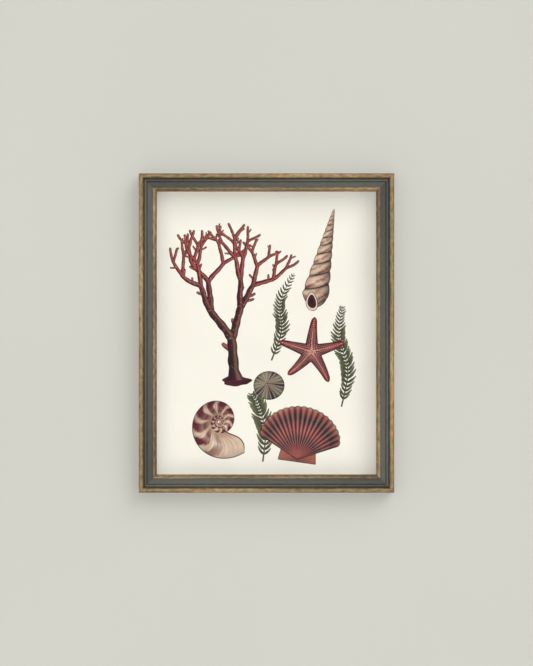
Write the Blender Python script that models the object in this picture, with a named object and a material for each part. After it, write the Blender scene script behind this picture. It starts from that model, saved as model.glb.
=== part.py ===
"""A wall-hung framed art print: four mitred rails, glass, print, backing board and a sawtooth hanger.

Metres, +Z up. The front faces -Y. The origin is the middle of the hanger's centre notch,
where the wall nail bears, so the picture hangs below and in front of it.
"""

import math
from collections import namedtuple

import bmesh
import bpy
from mathutils import Matrix, Vector

MM = 0.001

# Driving dimensions of the frame
OUTER_WIDTH = 406.4 * MM
OUTER_HEIGHT = 508.0 * MM
RAIL_WIDTH = 28.0 * MM
RABBET_WIDTH = 4.0 * MM
RABBET_DEPTH = 9.5 * MM
GAP = 0.3 * MM

# What lies in the rabbet
PRINT_WIDTH = 355.6 * MM
PRINT_HEIGHT = 457.2 * MM
GLASS_THICK = 2.0 * MM
PRINT_THICK = 0.4 * MM
BOARD_THICK = 3.0 * MM

# Moulding, as distances across the rail from its outer edge and heights above its back
SIDE_HEIGHT = 22.6 * MM
RIDGE_WIDTH = 7.4 * MM
RIDGE_RISE = 4.4 * MM
RIDGE_POWER = 2.5
OUTER_GROOVE_WIDTH = 1.8 * MM
OUTER_GROOVE_FLOOR = 21.0 * MM
BEAD_WIDTH = 3.2 * MM
BEAD_FOOT = 21.2 * MM
BEAD_RISE = 1.7 * MM
INNER_GROOVE_WIDTH = 1.6 * MM
INNER_GROOVE_FLOOR = 20.2 * MM
COVE_WIDTH = 8.2 * MM
COVE_TOP = 21.2 * MM
COVE_FOOT = 19.2 * MM
COVE_SAG = 0.6 * MM
COVE_STEPS = 8
LIP_STEP = 19.6 * MM
LIP_CREST = 20.8 * MM
LIP_SHOULDER = 1.8 * MM
SIGHT_EDGE_TOP = 17.2 * MM

# Sawtooth hanger, on the back of the top rail
HANGER_LENGTH = 45.0 * MM
HANGER_HEIGHT = 10.0 * MM
HANGER_THICK = 0.8 * MM
HANGER_TAB = 7.0 * MM
HANGER_RAMP = 2.0 * MM
HANGER_LIFT = 1.5 * MM
HANGER_EDGE_TO_FRAME = 7.0 * MM
NOTCH_COUNT = 9
NOTCH_PITCH = 2.8 * MM
NOTCH_DEPTH = 1.6 * MM
NOTCH_TOP = 1.2 * MM
NOTCH_MOUTH = 2.4 * MM
NAIL_HEAD_RADIUS = 2.0 * MM
NAIL_HEAD_THICK = 0.8 * MM
NAIL_RADIUS = 0.6 * MM
NAIL_LENGTH = 8.0 * MM

# Corner nails: V-shaped steel driven across each mitre, just under the back
CORNER_NAIL_LEG = 5.0 * MM
CORNER_NAIL_THICK = 0.6 * MM
CORNER_NAIL_LENGTH = 7.0 * MM
CORNER_NAIL_SINK = 0.2 * MM
CORNER_NAIL_PLACES = {"outer": 4.5 * MM, "inner": 12.5 * MM}

# Framing points: flat steel that holds the board in the rabbet
POINT_LENGTH = 16.0 * MM
POINT_WIDTH = 5.0 * MM
POINT_THICK = 0.4 * MM
POINT_IN_WOOD = 7.0 * MM
POINT_TIP = 3.0 * MM
SHORT_SIDE_POINTS = 90.0 * MM
LONG_SIDE_POINTS = 150.0 * MM

# Rubber bumpers on the back of the bottom rail
BUMPER_RADIUS = 5.0 * MM
BUMPER_FLAT_RADIUS = 2.6 * MM
BUMPER_THICK = 3.0 * MM
BUMPER_POWER = 2.4
BUMPER_FROM_SIDE = 36.0 * MM
BUMPER_ACROSS = 12.0 * MM

# Places that follow from the sizes
RABBET_WALL = RAIL_WIDTH - RABBET_WIDTH
GLASS_FRONT = RABBET_DEPTH - GAP
PRINT_FRONT = GLASS_FRONT - GLASS_THICK - GAP
BOARD_FRONT = PRINT_FRONT - PRINT_THICK - GAP
BOARD_BACK = BOARD_FRONT - BOARD_THICK
NOTCH_ACROSS = HANGER_EDGE_TO_FRAME + HANGER_HEIGHT - NOTCH_DEPTH
HANGER_NAIL_ACROSS = HANGER_EDGE_TO_FRAME + HANGER_HEIGHT / 2
HANGER_NAIL_X = {"left": HANGER_TAB / 2 - HANGER_LENGTH / 2, "right": HANGER_LENGTH / 2 - HANGER_TAB / 2}
BACK_Y = -(GAP + HANGER_LIFT + HANGER_THICK / 2)
CENTRE = Vector((0.0, BACK_Y, NOTCH_ACROSS - OUTER_HEIGHT / 2))
CUTTER_REACH = 1.0 * MM

# A side of the frame: its rail's turn about +Y in degrees, its length, how far its outer edge is
# from the frame's middle, and where its framing points are along it
Side = namedtuple("Side", "turn length edge points")
SIDES = {
    "top": Side(
        0, OUTER_WIDTH, OUTER_HEIGHT / 2,
        {"left": -SHORT_SIDE_POINTS, "right": SHORT_SIDE_POINTS},
    ),
    "right": Side(
        90, OUTER_HEIGHT, OUTER_WIDTH / 2,
        {"upper": -LONG_SIDE_POINTS, "middle": 0.0, "lower": LONG_SIDE_POINTS},
    ),
    "bottom": Side(
        180, OUTER_WIDTH, OUTER_HEIGHT / 2,
        {"right": -SHORT_SIDE_POINTS, "left": SHORT_SIDE_POINTS},
    ),
    "left": Side(
        270, OUTER_HEIGHT, OUTER_WIDTH / 2,
        {"lower": -LONG_SIDE_POINTS, "middle": 0.0, "upper": LONG_SIDE_POINTS},
    ),
}

# Each corner, as a side that meets there and that side's +X or -X end
CORNERS = {
    "top_left": ("top", -1),
    "top_right": ("top", 1),
    "bottom_left": ("bottom", 1),
    "bottom_right": ("bottom", -1),
}


def clear_scene():
    for obj in list(bpy.data.objects):
        bpy.data.objects.remove(obj)


def material(name, colour, roughness, metallic=0.0, alpha=1.0):
    made = bpy.data.materials.new(name)
    made.use_nodes = True
    shader = made.node_tree.nodes["Principled BSDF"]
    shader.inputs["Base Color"].default_value = (*colour, 1.0)
    shader.inputs["Roughness"].default_value = roughness
    shader.inputs["Metallic"].default_value = metallic
    shader.inputs["Alpha"].default_value = alpha
    return made


def add_object(name, mesh, parent, finish=None, matrix=None):
    """Links one named object under parent, placed by matrix in the parent's axes."""
    obj = bpy.data.objects.new(name, mesh)
    bpy.context.collection.objects.link(obj)
    obj.parent = parent
    if matrix is not None:
        obj.matrix_local = matrix
    if finish is not None:
        mesh.materials.append(finish)
    return obj


def cut_with(obj, cutter):
    """Takes the hidden cutter out of the object."""
    cutter.hide_render = True
    cutter.display_type = "WIRE"
    cut = obj.modifiers.new("cut", "BOOLEAN")
    cut.operation = "DIFFERENCE"
    cut.solver = "EXACT"
    cut.object = cutter


def mesh_from(bm, name, smooth_angle=None):
    bmesh.ops.recalc_face_normals(bm, faces=bm.faces)
    mesh = bpy.data.meshes.new(name)
    bm.to_mesh(mesh)
    bm.free()
    if smooth_angle is not None:
        mesh.shade_smooth()
        mesh.set_sharp_from_angle(angle=math.radians(smooth_angle))
    return mesh


def extrude_face(bm, points, vector):
    """Makes a face from its points and extrudes it along vector into a closed prism."""
    face = bm.faces.new([bm.verts.new(point) for point in points])
    grown = bmesh.ops.extrude_face_region(bm, geom=[face])["geom"]
    moved = [item for item in grown if isinstance(item, bmesh.types.BMVert)]
    bmesh.ops.translate(bm, verts=moved, vec=vector)
    return moved


def add_plate(bm, outline, low, high):
    """A plate with an outline of (x, z) points, from low to high along Y."""
    extrude_face(bm, [(x, low, z) for x, z in outline], (0.0, high - low, 0.0))


def add_rod(bm, radius, low, high, x, z, segments=16):
    """A cylinder along Y, from low to high."""
    place = Matrix.Translation((x, (low + high) / 2, z)) @ Matrix.Rotation(math.radians(90), 4, "X")
    bmesh.ops.create_cone(
        bm, cap_ends=True, segments=segments, radius1=radius, radius2=radius,
        depth=high - low, matrix=place,
    )


def arc(centre, radii, start, end, steps, power=2.0):
    """Points on a superellipse, whose power is 2 for an ellipse; angles are in degrees."""
    points = []
    for i in range(steps + 1):
        turn = math.radians(start + (end - start) * i / steps)
        c, s = round(math.cos(turn), 12), round(math.sin(turn), 12)
        across = math.copysign(abs(c) ** (2 / power), c)
        rise = math.copysign(abs(s) ** (2 / power), s)
        points.append((centre[0] + radii[0] * across, centre[1] + radii[1] * rise))
    return points


def moulding_profile():
    """The rail's section as (across, height) points: outer side, face, sight edge, rabbet, back."""
    points = [(0.0, 0.0)]

    ridge = RIDGE_WIDTH / 2
    points += arc((ridge, SIDE_HEIGHT), (ridge, RIDGE_RISE), 180, 0, 14, RIDGE_POWER)

    bead = RIDGE_WIDTH + OUTER_GROOVE_WIDTH
    points += [(RIDGE_WIDTH, OUTER_GROOVE_FLOOR), (bead, OUTER_GROOVE_FLOOR)]
    points += arc((bead + BEAD_WIDTH / 2, BEAD_FOOT), (BEAD_WIDTH / 2, BEAD_RISE), 180, 0, 8)

    inner_groove = bead + BEAD_WIDTH
    cove = inner_groove + INNER_GROOVE_WIDTH
    points += [(inner_groove, INNER_GROOVE_FLOOR), (cove, INNER_GROOVE_FLOOR)]
    for i in range(COVE_STEPS + 1):
        share = i / COVE_STEPS
        slope = COVE_TOP + (COVE_FOOT - COVE_TOP) * share
        points.append((cove + COVE_WIDTH * share, slope - COVE_SAG * math.sin(math.pi * share)))

    crest = cove + COVE_WIDTH + LIP_SHOULDER
    points += arc((crest, LIP_STEP), (LIP_SHOULDER, LIP_CREST - LIP_STEP), 180, 90, 5)
    nose = (RAIL_WIDTH - crest, LIP_CREST - SIGHT_EDGE_TOP)
    points += arc((crest, SIGHT_EDGE_TOP), nose, 90, 0, 8)[1:]

    points += [(RAIL_WIDTH, RABBET_DEPTH), (RABBET_WALL, RABBET_DEPTH), (RABBET_WALL, 0.0)]
    return points


def side_matrix(side):
    """Turns a side's own axes, with its outer edge up, to the side's place on the frame."""
    return Matrix.Rotation(math.radians(SIDES[side].turn), 4, "Y")


def rail_mesh(side):
    """A rail along X with its outer edge up. Each mitre keeps half a gap to the next rail."""
    end = SIDES[side].length / 2 - GAP / 2 * math.sqrt(2)
    edge = SIDES[side].edge
    bm = bmesh.new()
    section = [(end - across, -height, edge - across) for across, height in moulding_profile()]
    for vert in extrude_face(bm, section, (0.0, 0.0, 0.0)):
        vert.co.x = -vert.co.x
    return mesh_from(bm, f"rail_{side}", smooth_angle=35)


def corner_nail_outline(side, end, across, grow=0.0):
    """A V on the mitre at one end of a side, in the side's axes, with a leg along each rail."""
    leg, half = CORNER_NAIL_LEG + grow, CORNER_NAIL_THICK / 2 + grow
    outline = [
        (half, half), (half, -leg), (-half, -leg),
        (-half, -half), (-leg, -half), (-leg, half),
    ]
    corner_x, corner_z = SIDES[side].length / 2 - across, SIDES[side].edge - across
    return [(end * (corner_x + x), corner_z + z) for x, z in outline]


def point_outline(side, along, grow=0.0):
    """A framing point from over the board into the rail's rabbet wall, where it tapers to its tip."""
    wall = SIDES[side].edge - RABBET_WALL
    half = POINT_WIDTH / 2 + grow
    tip = POINT_IN_WOOD + grow
    shoulder = tip - POINT_TIP
    free = POINT_LENGTH - POINT_IN_WOOD
    outline = [(-half, -free), (half, -free), (half, shoulder), (0.0, tip), (-half, shoulder)]
    return [(along + x, wall + z) for x, z in outline]


def slots_mesh(side):
    """Everything that is cut out of one rail for its nails and points, as one cutter."""
    bm = bmesh.new()
    nail_depth = CORNER_NAIL_SINK + CORNER_NAIL_LENGTH + GAP
    for across in CORNER_NAIL_PLACES.values():
        for end in (-1, 1):
            add_plate(bm, corner_nail_outline(side, end, across, GAP), -nail_depth, CUTTER_REACH)
    for along in SIDES[side].points.values():
        add_plate(bm, point_outline(side, along, GAP), -BOARD_BACK, -BOARD_BACK + POINT_THICK + 2 * GAP)
    if side == "top":
        z = SIDES[side].edge - HANGER_NAIL_ACROSS
        for x in HANGER_NAIL_X.values():
            add_rod(bm, NAIL_RADIUS + GAP, -NAIL_LENGTH - GAP, CUTTER_REACH, x, z)
    return mesh_from(bm, f"slots_{side}")


def add_rails(frame, finish):
    for side in SIDES:
        rail = add_object(f"rail_{side}", rail_mesh(side), frame, finish, side_matrix(side))
        slots = add_object(f"slots_{side}", slots_mesh(side), frame, matrix=side_matrix(side))
        cut_with(rail, slots)


def add_corner_nails(frame, finish):
    """Two V nails at each corner, the one nearer the frame's outside and the one nearer the glass."""
    for corner, (side, end) in CORNERS.items():
        for place, across in CORNER_NAIL_PLACES.items():
            name = f"corner_nail_{corner}_{place}"
            bm = bmesh.new()
            outline = corner_nail_outline(side, end, across)
            add_plate(bm, outline, -CORNER_NAIL_SINK - CORNER_NAIL_LENGTH, -CORNER_NAIL_SINK)
            add_object(name, mesh_from(bm, name), frame, finish, side_matrix(side))


def add_framing_points(frame, finish):
    low = -BOARD_BACK + GAP
    for side in SIDES:
        for place, along in SIDES[side].points.items():
            name = f"framing_point_{side}_{place}"
            bm = bmesh.new()
            add_plate(bm, point_outline(side, along), low, low + POINT_THICK)
            add_object(name, mesh_from(bm, name), frame, finish, side_matrix(side))


def add_sheet(name, front, thick, frame, finish):
    """A flat sheet in the rabbet, whose front face is at that height above the frame's back."""
    across, up = PRINT_WIDTH / 2, PRINT_HEIGHT / 2
    bm = bmesh.new()
    add_plate(bm, [(-across, -up), (across, -up), (across, up), (-across, up)], -front, thick - front)
    add_object(name, mesh_from(bm, name), frame, finish)


def hanger_section():
    """The strip seen from above, as (x, y) points: flat tabs, ramps and a raised middle."""
    end = HANGER_LENGTH / 2
    tab = end - HANGER_TAB
    ramp = tab - HANGER_RAMP
    under = [(-end, GAP), (-tab, GAP), (-ramp, GAP + HANGER_LIFT)]
    under += [(-x, y) for x, y in reversed(under)]
    return under + [(x, y + HANGER_THICK) for x, y in reversed(under)]


def notch_outline(x, low):
    """One notch in the strip's lower edge, with a flat top for the wall nail."""
    below, top = low - CUTTER_REACH, low + NOTCH_DEPTH
    mouth, flat = NOTCH_MOUTH / 2, NOTCH_TOP / 2
    return [
        (x - mouth, low), (x - mouth, below), (x + mouth, below),
        (x + mouth, low), (x + flat, top), (x - flat, top),
    ]


def add_hanger(frame, finish):
    """A strip whose lower edge has a row of notches, with a nail hole in each tab."""
    low = OUTER_HEIGHT / 2 - HANGER_EDGE_TO_FRAME - HANGER_HEIGHT
    bm = bmesh.new()
    extrude_face(bm, [(x, y, low) for x, y in hanger_section()], (0.0, 0.0, HANGER_HEIGHT))
    hanger = add_object("sawtooth_hanger", mesh_from(bm, "sawtooth_hanger"), frame, finish)

    bm = bmesh.new()
    back = GAP + HANGER_LIFT + HANGER_THICK + CUTTER_REACH
    for i in range(NOTCH_COUNT):
        x = (i - (NOTCH_COUNT - 1) / 2) * NOTCH_PITCH
        add_plate(bm, notch_outline(x, low), -CUTTER_REACH, back)
    for x in HANGER_NAIL_X.values():
        add_rod(bm, NAIL_RADIUS + GAP, -CUTTER_REACH, back, x, low + HANGER_HEIGHT / 2)
    cut_with(hanger, add_object("hanger_cuts", mesh_from(bm, "hanger_cuts"), frame))


def turned_mesh(name, profile, segments):
    """Spins a profile of (radius, y) points round the Y axis; its ends lie on the axis."""
    bm = bmesh.new()
    verts = [bm.verts.new((radius, y, 0.0)) for radius, y in profile]
    edges = [bm.edges.new(pair) for pair in zip(verts, verts[1:])]
    bmesh.ops.spin(
        bm, geom=verts + edges, cent=(0, 0, 0), axis=(0, 1, 0), angle=math.tau,
        steps=segments, use_merge=True,
    )
    bmesh.ops.remove_doubles(bm, verts=bm.verts, dist=0.01 * MM)
    return mesh_from(bm, name, smooth_angle=40)


def add_hanger_nails(frame, finish):
    """Round-headed nails through the hanger's tabs into the top rail."""
    head = GAP + HANGER_THICK + GAP
    profile = [
        (0.0, -NAIL_LENGTH), (NAIL_RADIUS, 2 * NAIL_RADIUS - NAIL_LENGTH), (NAIL_RADIUS, head),
        (NAIL_HEAD_RADIUS, head), (NAIL_HEAD_RADIUS, head + NAIL_HEAD_THICK / 2),
        (NAIL_HEAD_RADIUS / 2, head + NAIL_HEAD_THICK), (0.0, head + NAIL_HEAD_THICK),
    ]
    z = OUTER_HEIGHT / 2 - HANGER_NAIL_ACROSS
    for place, x in HANGER_NAIL_X.items():
        name = f"hanger_nail_{place}"
        add_object(name, turned_mesh(name, profile, 14), frame, finish, Matrix.Translation((x, 0.0, z)))


def add_bumpers(frame, finish):
    """Domed rubber discs with a small flat that meets the wall."""
    bulge = (BUMPER_RADIUS - BUMPER_FLAT_RADIUS, BUMPER_THICK)
    dome = arc((BUMPER_FLAT_RADIUS, GAP), bulge, 0, 90, 6, BUMPER_POWER)
    profile = [(0.0, GAP), *dome, (0.0, GAP + BUMPER_THICK)]
    x = OUTER_WIDTH / 2 - BUMPER_FROM_SIDE
    z = BUMPER_ACROSS - OUTER_HEIGHT / 2
    for place, along in {"left": -x, "right": x}.items():
        name = f"bumper_{place}"
        mesh = turned_mesh(name, profile, 24)
        add_object(name, mesh, frame, finish, Matrix.Translation((along, 0.0, z)))


def main():
    clear_scene()
    frame = bpy.data.objects.new("picture_frame", None)
    bpy.context.collection.objects.link(frame)
    frame.location = CENTRE

    moulding = material("gold_and_charcoal_moulding", (0.34, 0.24, 0.13), 0.5)
    steel = material("zinc_plated_steel", (0.55, 0.55, 0.53), 0.35, metallic=1.0)
    glass = material("clear_glass", (0.95, 0.97, 0.96), 0.02, alpha=0.12)
    paper = material("cream_art_paper", (0.93, 0.90, 0.80), 0.85)
    board = material("brown_hardboard", (0.20, 0.12, 0.07), 0.8)
    rubber = material("black_rubber", (0.03, 0.03, 0.03), 0.7)

    add_rails(frame, moulding)
    add_corner_nails(frame, steel)
    add_sheet("glass_pane", GLASS_FRONT, GLASS_THICK, frame, glass)
    add_sheet("art_print", PRINT_FRONT, PRINT_THICK, frame, paper)
    add_sheet("backing_board", BOARD_FRONT, BOARD_THICK, frame, board)
    add_framing_points(frame, steel)
    add_hanger(frame, steel)
    add_hanger_nails(frame, steel)
    add_bumpers(frame, rubber)


main()
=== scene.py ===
"""The looks of a framed art print: finer rails, a printed plate, glass, fittings, stage and light."""

import random
from math import atan2, copysign, cos, degrees, dist, exp, log, pi, radians, sin, sqrt, tau

import bmesh
import bpy
from mathutils import Matrix, Vector, interpolate, noise
from mathutils.geometry import delaunay_2d_cdt


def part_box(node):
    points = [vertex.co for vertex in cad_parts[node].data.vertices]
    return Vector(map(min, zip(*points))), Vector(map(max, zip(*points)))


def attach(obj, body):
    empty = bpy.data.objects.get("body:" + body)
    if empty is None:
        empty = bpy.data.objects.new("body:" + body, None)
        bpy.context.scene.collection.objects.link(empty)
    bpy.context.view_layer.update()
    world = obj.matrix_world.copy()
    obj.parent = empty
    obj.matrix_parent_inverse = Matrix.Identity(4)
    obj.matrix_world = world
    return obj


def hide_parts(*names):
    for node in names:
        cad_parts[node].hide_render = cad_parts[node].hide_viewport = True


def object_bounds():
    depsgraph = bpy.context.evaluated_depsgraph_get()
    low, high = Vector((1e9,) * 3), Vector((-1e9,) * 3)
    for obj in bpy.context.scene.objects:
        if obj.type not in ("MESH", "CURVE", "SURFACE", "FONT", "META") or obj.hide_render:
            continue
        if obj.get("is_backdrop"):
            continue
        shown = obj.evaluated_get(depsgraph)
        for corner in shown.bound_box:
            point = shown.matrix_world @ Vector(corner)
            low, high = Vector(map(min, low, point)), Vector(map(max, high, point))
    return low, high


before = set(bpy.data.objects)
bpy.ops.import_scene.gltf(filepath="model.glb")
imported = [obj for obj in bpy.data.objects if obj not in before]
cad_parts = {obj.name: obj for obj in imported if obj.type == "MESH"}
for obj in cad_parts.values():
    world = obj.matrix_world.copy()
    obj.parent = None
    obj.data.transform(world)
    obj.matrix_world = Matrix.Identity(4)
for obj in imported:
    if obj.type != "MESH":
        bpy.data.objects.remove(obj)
cad_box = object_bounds()

MM = 0.001

# The frame's outside, from the CAD rails
LEFT_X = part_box("rail_left")[0].x
RIGHT_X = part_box("rail_right")[1].x
BOTTOM_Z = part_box("rail_bottom")[0].z
TOP_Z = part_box("rail_top")[1].z
BACK_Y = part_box("rail_top")[1].y
WIDTH = RIGHT_X - LEFT_X
HEIGHT = TOP_Z - BOTTOM_Z
CENTRE = Vector(((LEFT_X + RIGHT_X) / 2, BACK_Y, (TOP_Z + BOTTOM_Z) / 2))
RAIL_WIDTH = TOP_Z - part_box("rail_top")[0].z

# The moulding's section, as in the CAD: distances from the outer edge, and heights above the back
RABBET_WIDTH = 4.0 * MM
RABBET_DEPTH = 9.5 * MM
SIDE_HEIGHT = 22.6 * MM
RIDGE_WIDTH = 7.4 * MM
RIDGE_RISE = 4.4 * MM
RIDGE_POWER = 2.5
BEAD_START = 9.2 * MM
BEAD_END = 12.4 * MM
BEAD_FOOT = 21.2 * MM
BEAD_RISE = 1.7 * MM
OUTER_GROOVE_FLOOR = 21.0 * MM
INNER_GROOVE_FLOOR = 20.2 * MM
COVE_START = 14.0 * MM
COVE_END = 22.2 * MM
COVE_TOP = 21.2 * MM
COVE_FOOT = 19.2 * MM
COVE_SAG = 0.6 * MM
LIP_STEP = 19.6 * MM
LIP_CREST = 20.8 * MM
LIP_SHOULDER = 1.8 * MM
SIGHT_EDGE_TOP = 17.2 * MM
MITRE_GAP = 0.12 * MM
EDGE_RADIUS = 0.25 * MM
OUTER_BAND = 0.3 * MM
BACK_BAND = 0.05 * MM
TINY = 0.01 * MM


def srgb(red, green, blue):
    """A colour given as 0 to 255, in the linear values that shaders take."""
    linear = []
    for value in (red, green, blue):
        share = value / 255
        linear.append(share / 12.92 if share <= 0.04045 else ((share + 0.055) / 1.055) ** 2.4)
    return (*linear, 1.0)


class Finish:
    """A material whose nodes are added one by one; every call returns the new node's output."""

    def __init__(self, name, **constants):
        self.material = bpy.data.materials.new(name)
        self.material.use_nodes = True
        self.tree = self.material.node_tree
        self.shader = self.tree.nodes["Principled BSDF"]
        for socket, value in constants.items():
            self.shader.inputs[socket.replace("_", " ")].default_value = value

    def add(self, kind, inputs=None, output=0, **settings):
        node = self.tree.nodes.new(kind)
        for name, value in settings.items():
            setattr(node, name, value)
        for key, value in (inputs or {}).items():
            if isinstance(value, bpy.types.NodeSocket):
                self.tree.links.new(value, node.inputs[key])
            else:
                node.inputs[key].default_value = value
        return node.outputs[output]

    def maths(self, operation, *values):
        return self.add("ShaderNodeMath", dict(enumerate(values)), operation=operation)

    def place(self):
        """Coordinates in metres, fixed to the piece."""
        return self.add("ShaderNodeTexCoord", output=3)

    def uv(self, name):
        return self.add("ShaderNodeUVMap", uv_map=name)

    def split(self, vector):
        node = self.tree.nodes.new("ShaderNodeSeparateXYZ")
        self.tree.links.new(vector, node.inputs[0])
        return node.outputs

    def noise(self, vector, scale, detail=2.0, roughness=0.5, distortion=0.0):
        """Noise whose features are about 1 / scale wide; scale may be a number for each axis."""
        inputs = {0: vector, 1: scale if isinstance(scale, tuple) else (scale, scale, scale)}
        scaled = self.add("ShaderNodeVectorMath", inputs, operation="MULTIPLY")
        inputs = {
            "Vector": scaled, "Scale": 1.0, "Detail": detail,
            "Roughness": roughness, "Distortion": distortion,
        }
        return self.add("ShaderNodeTexNoise", inputs)

    def spread(self, value, low, high, new_low=0.0, new_high=1.0):
        inputs = {0: value, 1: low, 2: high, 3: new_low, 4: new_high}
        return self.add("ShaderNodeMapRange", inputs)

    def mix(self, share, first, second, blend_type="MIX"):
        inputs = {0: share, 6: first, 7: second}
        return self.add("ShaderNodeMix", inputs, 2, data_type="RGBA", blend_type=blend_type)

    def times(self, first, second):
        return self.mix(1.0, first, second, "MULTIPLY")

    def between(self, share, first, second):
        """The number at a share of the way from first to second."""
        return self.add("ShaderNodeMix", {0: share, 2: first, 3: second}, data_type="FLOAT")

    def grey(self, value):
        return self.add("ShaderNodeCombineColor", {0: value, 1: value, 2: value})

    def ramp(self, value, stops):
        """A colour ramp with (place, colour) stops; its alpha comes with the colours."""
        node = self.tree.nodes.new("ShaderNodeValToRGB")
        self.tree.links.new(value, node.inputs[0])
        elements = node.color_ramp.elements
        while len(elements) > 1:
            elements.remove(elements[-1])
        elements[0].position, elements[0].color = stops[0]
        for place, colour in stops[1:]:
            elements.new(place).color = colour
        return node.outputs[0], node.outputs[1]

    def bump(self, height, distance, strength=1.0):
        inputs = {"Height": height, "Distance": distance, "Strength": strength}
        self.drive("Normal", self.add("ShaderNodeBump", inputs))

    def drive(self, socket, value):
        self.tree.links.new(value, self.shader.inputs[socket])


# Painted zones of the moulding: where each starts, on a line that runs up the outer side (below zero),
# across the face and down the sight edge, its colour, and how much gold shows in it. The colours are as
# the moulding looks when lit, so the darker grooves, the lip's darker inner slope and the sight edge
# are partly painted shade, and the lighter crests of the ridge and the lip are partly painted
# highlight.
ZONES = (
    (-22.6, srgb(66, 64, 58), 0.0),
    (-5.0, srgb(146, 121, 88), 0.9),
    (-0.6, srgb(145, 118, 94), 1.0),
    (1.5, srgb(158, 134, 97), 1.0),
    (5.9, srgb(140, 122, 92), 1.0),
    (7.3, srgb(80, 70, 52), 0.25),
    (9.2, srgb(99, 97, 91), 0.0),
    (12.4, srgb(71, 68, 60), 0.0),
    (14.0, srgb(89, 88, 82), 0.0),
    (22.1, srgb(148, 128, 99), 1.0),
    (25.0, srgb(126, 102, 69), 1.0),
    (28.4, srgb(106, 84, 55), 1.0),
    (34.5, srgb(96, 78, 54), 1.0),
)
ZONE_LOW, ZONE_HIGH = -24.0, 36.0
ZONE_BLEND = 0.35


def zone_stops():
    """Each zone as two ramp stops, so that it runs flat between short blends to its neighbours."""
    def place(millimetres):
        return (millimetres - ZONE_LOW) / (ZONE_HIGH - ZONE_LOW)

    stops = []
    for i, (start, colour, gold) in enumerate(ZONES):
        tone = (*colour[:3], gold)
        stops.append((place(start + ZONE_BLEND / 2) if i else 0.0, tone))
        if i + 1 < len(ZONES):
            stops.append((place(ZONES[i + 1][0] - ZONE_BLEND / 2), tone))
    return stops


# How the hand finish goes lighter and darker along each rail, from its start clockwise
CHARCOAL_TONES = (
    (0.05, 0.70), (0.15, 0.76), (0.3, 0.88), (0.5, 0.98), (0.7, 1.06), (0.85, 1.07), (0.95, 1.0),
)
RIDGE_TONES = (
    (0.05, 0.96), (0.35, 0.96), (0.47, 1.05), (0.57, 1.24), (0.66, 1.32), (0.78, 1.12), (0.95, 0.95),
)
LIP_TONES = (
    (0.05, 0.72), (0.15, 0.74), (0.3, 0.98), (0.45, 1.22), (0.57, 0.95), (0.65, 0.92), (0.85, 1.42),
    (0.95, 1.36),
)
TOP_TONE = 1.6

# Tints that drift over the finish: gold from khaki to reddish, charcoal from greenish to bluish
CHARCOAL_TINTS = ((0.38, (0.90, 1.0, 0.88)), (0.50, (1.0, 1.0, 0.99)), (0.62, (0.97, 0.97, 1.16)))
GOLD_TINTS = ((0.32, (0.88, 1.02, 0.92)), (0.50, (1.0, 1.0, 1.0)), (0.66, (1.14, 0.95, 0.83)))
TOP_TINT = 1.25
LIP_PLACE = 18.0 * MM


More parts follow.
